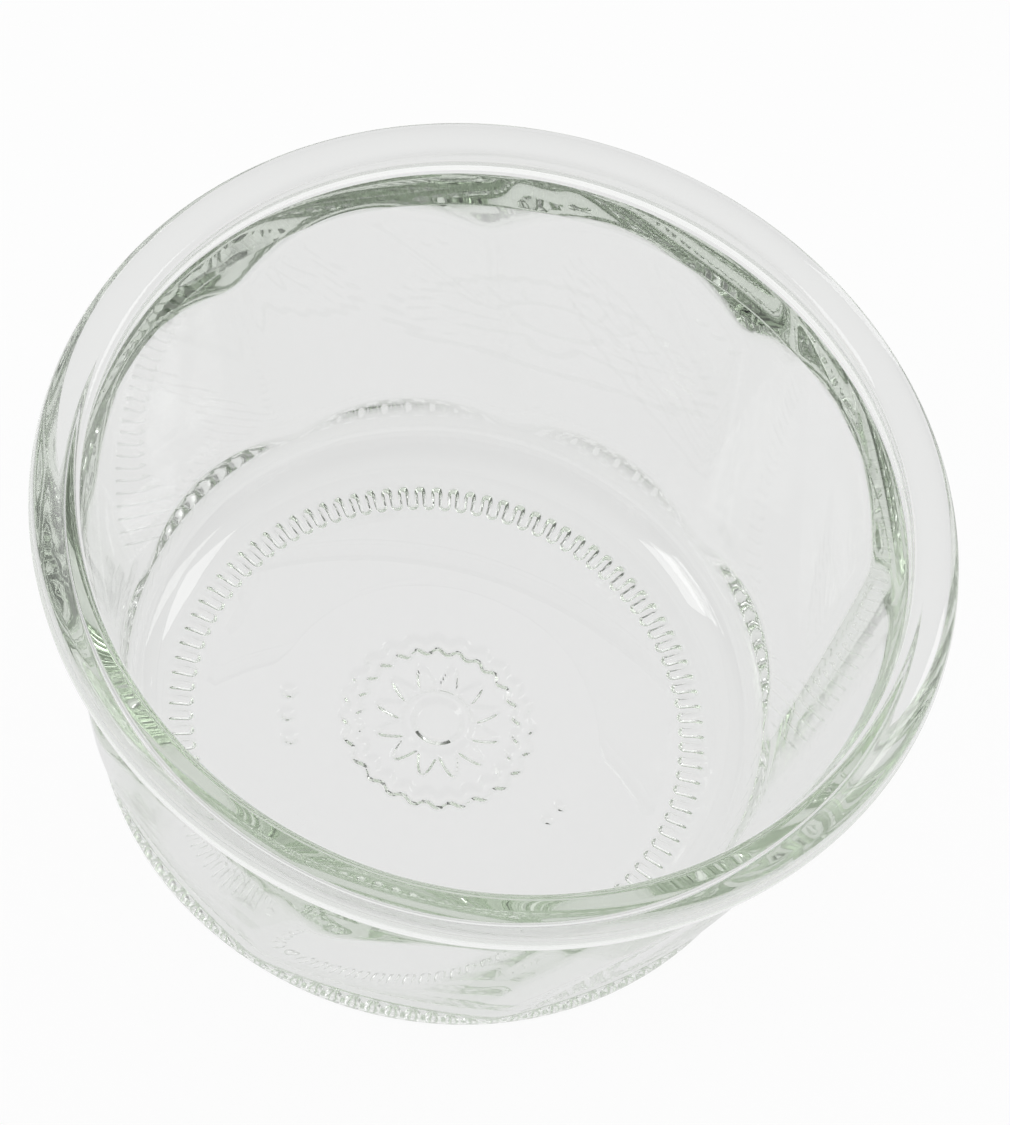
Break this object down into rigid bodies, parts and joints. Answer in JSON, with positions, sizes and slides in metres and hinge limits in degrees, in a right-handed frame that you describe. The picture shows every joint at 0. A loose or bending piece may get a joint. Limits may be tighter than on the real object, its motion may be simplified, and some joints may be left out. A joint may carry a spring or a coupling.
{
  "type": "glass canning jar",
  "caption": "Low, wide, tapered clear-glass canning jar, open and empty, with a thick rolled rim, nine leaning outer panels and a knurled foot.",
  "frame": {"origin": "centre of the circle the foot stands on, at the table", "axes": "+Z along the jar's axis, from the foot towards the mouth; +X and +Y are free, the first corner between two panels stands 9.5 degrees from +X towards +Y where it would meet the table, and leans 0.373 degrees further round for each millimetre of height"},
  "size_m": [0.109, 0.109, 0.055],
  "materials": {
    "glass": "clear pressed glass with a pale green tint"
  },
  "bodies": {
    "root": {"jar": "glass"}
  },
  "joints": []
}
